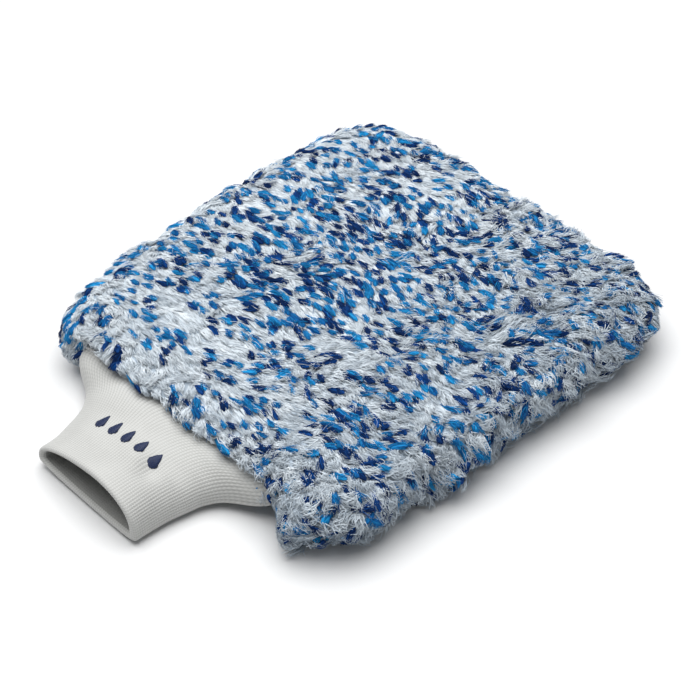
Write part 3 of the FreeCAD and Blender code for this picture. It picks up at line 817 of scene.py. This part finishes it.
def make_cuff():
    """The knit as one sheet: along the outside, round the rolled rim and back along the inside."""
    rim_start = RIM_X + RIM_RADIUS
    outer_x = np.concatenate([np.linspace(HIDDEN_X, -100, 14),
                              np.linspace(-100, rim_start, 34)[1:]])
    inner_x = outer_x[::-2]
    rim_turn = np.linspace(0, math.pi, 9)[1:-1]
    xs = np.concatenate([outer_x, rim_start - RIM_RADIUS * np.sin(rim_turn), inner_x])
    insets = np.concatenate([0 * outer_x, RIM_RADIUS * (1 - np.cos(rim_turn)),
                             0 * inner_x + 2 * RIM_RADIUS])
    sections = [(x, cuff_ring(x, inset)) for x, inset in zip(xs, insets)]
    rings = np.array([np.column_stack([np.full(len(ring), x), ring]) for x, ring in sections])
    rings = soften(rings)
    down = np.roll(rings, 1, axis=1) - np.roll(rings, -1, axis=1)
    along = np.roll(rings, 1, axis=0) - np.roll(rings, -1, axis=0)
    n = unit(np.cross(along, down))
    ribs = np.cos(2 * math.pi * np.arange(rings.shape[1]) / RIB_SAMPLES)
    depth = RIB_DEPTH * (0.45 + 0.55 * smooth_step(RIM_X, RIM_X + 4, xs))
    rings = rings - n * (depth[:, None] * 0.5 * (1 + ribs))[..., None]
    count, sides, _ = rings.shape
    index = np.arange(count * sides).reshape(count, sides)
    a, b = index, np.roll(index, -1, axis=1)
    c, d = np.roll(b, -1, axis=0), np.roll(a, -1, axis=0)
    quads = np.stack([a, b, c, d], axis=-1).reshape(-1, 4)
    u = np.arange(sides + 1) / sides
    # the last row of quads joins the two layers inside the pouch, over 3 mm of the UV map
    run = np.concatenate([[0], np.cumsum(np.hypot(np.diff(xs), np.diff(insets)))])
    v = np.concatenate([run, [run[-1] + 3]]) / (run[-1] + 3)
    uv = grid_uv(u, v)
    piece = make_mesh("knitted_cuff", rings.reshape(-1, 3), [quads], [uv], KNIT)
    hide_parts("rib_cuff")
    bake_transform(piece)


def cuff_top(x, y):
    """Height of the cuff's upper face."""
    heights = []
    for one_x, one_y in zip(np.ravel(x), np.ravel(y)):
        phi = np.linspace(0.02, math.pi - 0.02, 300)
        sy, sz = cuff_section(one_x, 0.0, phi)
        p = soften(np.array([[one_x, one_y, np.interp(one_y, sy[::-1], sz[::-1])]]))
        heights.append(p[0, 2])
    return np.array(heights).reshape(np.shape(x))


DROPS_X, DROPS_Y = -114.5, (-7.0, 2.0, 11.0, 20.0, 29.0)
DROP_RADIUS, DROP_POINT = 2.6, 5.7
STITCHES, STITCH_RADIUS, STITCH_SLANT = 18, 0.29, 0.14
PADDING, SUNK = 0.95, 0.25


def make_drop(number, y):
    """A drop in satin stitch: threads side by side across it, over a padding."""
    reach = np.linspace(-DROP_RADIUS + 0.12, DROP_POINT - 0.35, STITCHES)
    lean = np.clip(reach / DROP_POINT, 0, 1)
    half = np.where(reach < 0, np.sqrt(np.clip(DROP_RADIUS**2 - reach**2, 0.04, None)),
                    DROP_RADIUS * (1 - lean) ** 0.85 * (1 + 0.35 * lean))
    own = np.random.default_rng(60 + number)
    half = half + own.uniform(-0.08, 0.08, len(half))
    t = np.linspace(-1, 1, 9)
    xs = DROPS_X + reach[:, None] + STITCH_SLANT * t[None]
    ys = y + half[:, None] * t[None]
    crown = PADDING * np.sqrt(np.clip(1 - t**2, 0, 1))
    crown = crown * np.clip(half / DROP_RADIUS, 0.25, 1)[:, None] - SUNK
    path = np.stack([xs, ys, cuff_top(xs, ys) + crown], axis=-1)
    across, up = frames_along(path, np.array([0.0, 0.0, 1.0]))
    thick = np.full(path.shape[:2], STITCH_RADIUS)
    thick[:, [0, -1]] *= 0.6
    rings = ring_points(path, across, up, thick, thick, 8)
    cells = np.column_stack([own.integers(0, ATLAS, len(reach)) for _ in range(2)])
    piece = tube_mesh(f"stitched_drop_{number}", rings, NAVY_THREAD, cells)
    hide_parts(f"embroidered_drop_{number}")
    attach(piece, "cuff")


# ---------------------------------------------------------------- cloth and seams inside

JOIN_X = -85.5               # where the cuff is sewn to the pouch
MOUTH_X, MOUTH_DOME = -88.0, 5.2
WRINKLE_SIZE = 0.35
STRAND_RADIUS = 0.16


def cloth_half(name, upper, share_edge, lift, thickness, mat, node_name):
    """One panel of cloth inside the pouch, as a thin closed slab: domed, and open at the cuff."""
    sign = 1 if upper else -1
    around = 200
    turn = np.arange(around) * 2 * math.pi / around
    shares = np.concatenate([np.linspace(0.02, 0.9, 24), np.linspace(0.9, 1.0, 10)[1:]])
    shares = shares * share_edge
    rings = []
    for offset in (0.0, -thickness):
        layer = []
        for share in shares:
            xy = on_outline(turn, share)
            rest = share / share_edge
            beside = smooth_step(50, 64, np.abs(xy[:, 1] - CUFF_MIDDLE_Y))
            mouth = smooth_step(-40, MOUTH_X, xy[:, 0]) * (1 - beside)
            dome = lift * (1 - rest**7) ** 0.6
            dome = np.maximum(dome, MOUTH_DOME * mouth) * (1 - 0.2 * mouth)
            wrinkle = WRINKLE_SIZE * ripple(np.column_stack([xy, 0 * turn])) * (1 - rest**4)
            z = SEAM_Z + sign * (0.5 + thickness + dome + wrinkle + offset)
            xy[:, 0] = np.maximum(xy[:, 0], MOUTH_X + 3 * (1 - mouth))
            layer.append(np.column_stack([xy, z]))
        rings.append(layer if offset == 0 else layer[::-1])
    shell = np.concatenate(rings)
    if upper:
        shell = shell[:, ::-1]
    piece = tube_mesh(name, shell[None], mat, atlas=1)
    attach(piece, "pouch")
    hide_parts(node_name)


def stitched_line(name, path, radius, pitch, node_name, body):
    """A seam: a bound edge with thread wound round it."""
    run = np.concatenate([[0], np.cumsum(np.linalg.norm(np.diff(path, axis=0), axis=1))])
    turns = max(3, int(run[-1] / pitch))
    s = np.linspace(0, run[-1], turns * 8)
    middle = np.column_stack([np.interp(s, run, path[:, k]) for k in range(3)])
    tangent = unit(np.gradient(middle, axis=0))
    side = unit(np.cross(tangent, [0, 0, 1.0]))
    up = np.cross(side, tangent)
    angle = 2 * math.pi * s / pitch
    helix = middle + radius * (np.cos(angle)[:, None] * side + np.sin(angle)[:, None] * up)
    strands = []
    for line, thick in ((helix, STRAND_RADIUS), (middle, radius * 0.72)):
        across, above = frames_along(line[None], np.array([0.1, 0.2, 1.0]))
        half = np.full((1, len(line)), thick)
        strands.append(ring_points(line[None], across, above, half, half, 6))
    piece = tube_mesh(name, np.concatenate(strands), SEAM_THREAD,
                      cells=[(0, 0), (1, 1)])
    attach(piece, body)
    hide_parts(node_name)


def inner_parts():
    """The cloths, the linings and the three seams."""
    for side, upper in (("upper", True), ("lower", False)):
        cad = "top" if upper else "bottom"
        cloth_half(side + "_ground_cloth", upper, share_edge=0.905, lift=7.2, thickness=0.8,
                   mat=CLOTH, node_name=cad + "_backing")
        cloth_half(side + "_lining", upper, share_edge=0.875, lift=5.4, thickness=0.5,
                   mat=LINING, node_name=cad + "_lining")
    turn = np.linspace(0, 2 * math.pi, 400)[:-1]
    edge = on_outline(turn, np.full(turn.shape, 0.915))
    across = edge[:, 1] - CUFF_MIDDLE_Y
    outside = (edge[:, 0] > -80) | (across > 68) | (across < -80)      # beside the open mouth
    start = int(np.argmax(~outside))
    edge = np.roll(edge, -start, axis=0)[np.roll(outside, -start)]
    stitched_line("overlocked_edge_seam", np.column_stack([edge, np.full(len(edge), SEAM_Z)]),
                  0.7, 2.4, "edge_seam", "pouch")
    phi = np.linspace(0, 2 * math.pi, 240)[:-1]
    y, z = cuff_section(JOIN_X, -0.9, phi)
    ring = np.column_stack([0 * y + JOIN_X, y, z])
    stitched_line("cuff_join_stitching", np.vstack([ring, ring[:1]]),
                  0.45, 2.2, "cuff_join_seam", "pouch")
    x = np.linspace(-136, -114, 30)
    *_, underside, _, _ = station_at(x)
    stitched_line("cuff_closing_stitching", np.column_stack([x, 0 * x + 4, underside + 0.1]),
                  0.3, 1.8, "cuff_side_seam", "cuff")


# ---------------------------------------------------------------- studio

FLOOR_SHADES = (0.645, 0.665)
FLOOR_SIDE, FLOOR_DEPTH = 4000.0, 20.0
AIR_COLOUR, AIR_STRENGTH = (0.93, 0.965, 1.0, 1), 0.33
KEY_PLACE, KEY_SIZE, KEY_POWER = (0.0, 0.12, 1.6), 1.9, 47.5
AIM, AZIMUTH, ELEVATION, DISTANCE = (0.019, 0, 0), -45.3, 43.1, 0.972
SENSOR, LENS, SHIFT = 36.0, 102.9, (-0.0066, -0.0041)


def area_light(name, place, size, power):
    """A round lamp that points at the middle of the frame."""
    data = bpy.data.lights.new(name, "AREA")
    data.shape = "DISK"
    data.size = size
    data.energy = power
    lamp = bpy.data.objects.new(name, data)
    bpy.context.scene.collection.objects.link(lamp)
    lamp.location = place
    lamp.rotation_euler = (-Vector(place)).to_track_quat("-Z", "Y").to_euler()


def studio():
    """A pale floor under a pale sky, with one wide lamp above."""
    mat, tree, shader = new_material("pale_floor", 0.9, specular=0.0)
    grain = node(tree, "ShaderNodeTexNoise", {"Scale": 30.0, "Detail": 2.0}).outputs[0]
    stops = [(place, (shade,) * 3) for place, shade in zip((0.3, 0.7), FLOOR_SHADES)]
    put(tree, shader.inputs["Base Color"], ramp(tree, grain, stops))
    corners = FLOOR_SIDE * np.array([[-1, -1], [1, -1], [1, 1], [-1, 1]])
    rings = np.array([[np.column_stack([corners, np.full(4, z)]) for z in (-FLOOR_DEPTH, 0.0)]])
    floor = tube_mesh("studio_floor", rings, mat)
    for face in floor.data.polygons:
        face.use_smooth = False
    world = bpy.data.worlds.new("studio_air")
    world.use_nodes = True
    world.node_tree.nodes["Background"].inputs[0].default_value = AIR_COLOUR
    world.node_tree.nodes["Background"].inputs[1].default_value = AIR_STRENGTH
    bpy.context.scene.world = world
    area_light("key_light", KEY_PLACE, KEY_SIZE, KEY_POWER)
    bpy.context.scene.view_settings.view_transform = "Standard"


def camera():
    """The view from the cuff's near side, from above."""
    azimuth, elevation = math.radians(AZIMUTH), math.radians(ELEVATION)
    level = math.cos(elevation)
    back = Vector((math.sin(azimuth) * level, -math.cos(azimuth) * level, math.sin(elevation)))
    data = bpy.data.cameras.new("camera")
    data.sensor_width = SENSOR
    data.lens = LENS
    data.shift_x, data.shift_y = SHIFT
    data.clip_start = 0.05
    eye = bpy.data.objects.new("camera", data)
    bpy.context.scene.collection.objects.link(eye)
    eye.location = Vector(AIM) + DISTANCE * back
    eye.rotation_euler = (-back).to_track_quat("-Z", "Y").to_euler()
    bpy.context.scene.camera = eye


pile_mass("upper_pile_mass", True, "top_pile")
pile_mass("lower_pile_mass", False, "bottom_pile")
white_pile("upper", True, gap=4.3, each=34, seed=101)
white_pile("lower", False, gap=5.6, each=18, seed=102)
coloured_pile("upper", True, gap=5.3, each=22, seed=103)
coloured_pile("lower", False, gap=7.0, each=8, seed=104)
make_cuff()
for number, y in enumerate(DROPS_Y, 1):
    make_drop(number, y)
inner_parts()
studio()
camera()
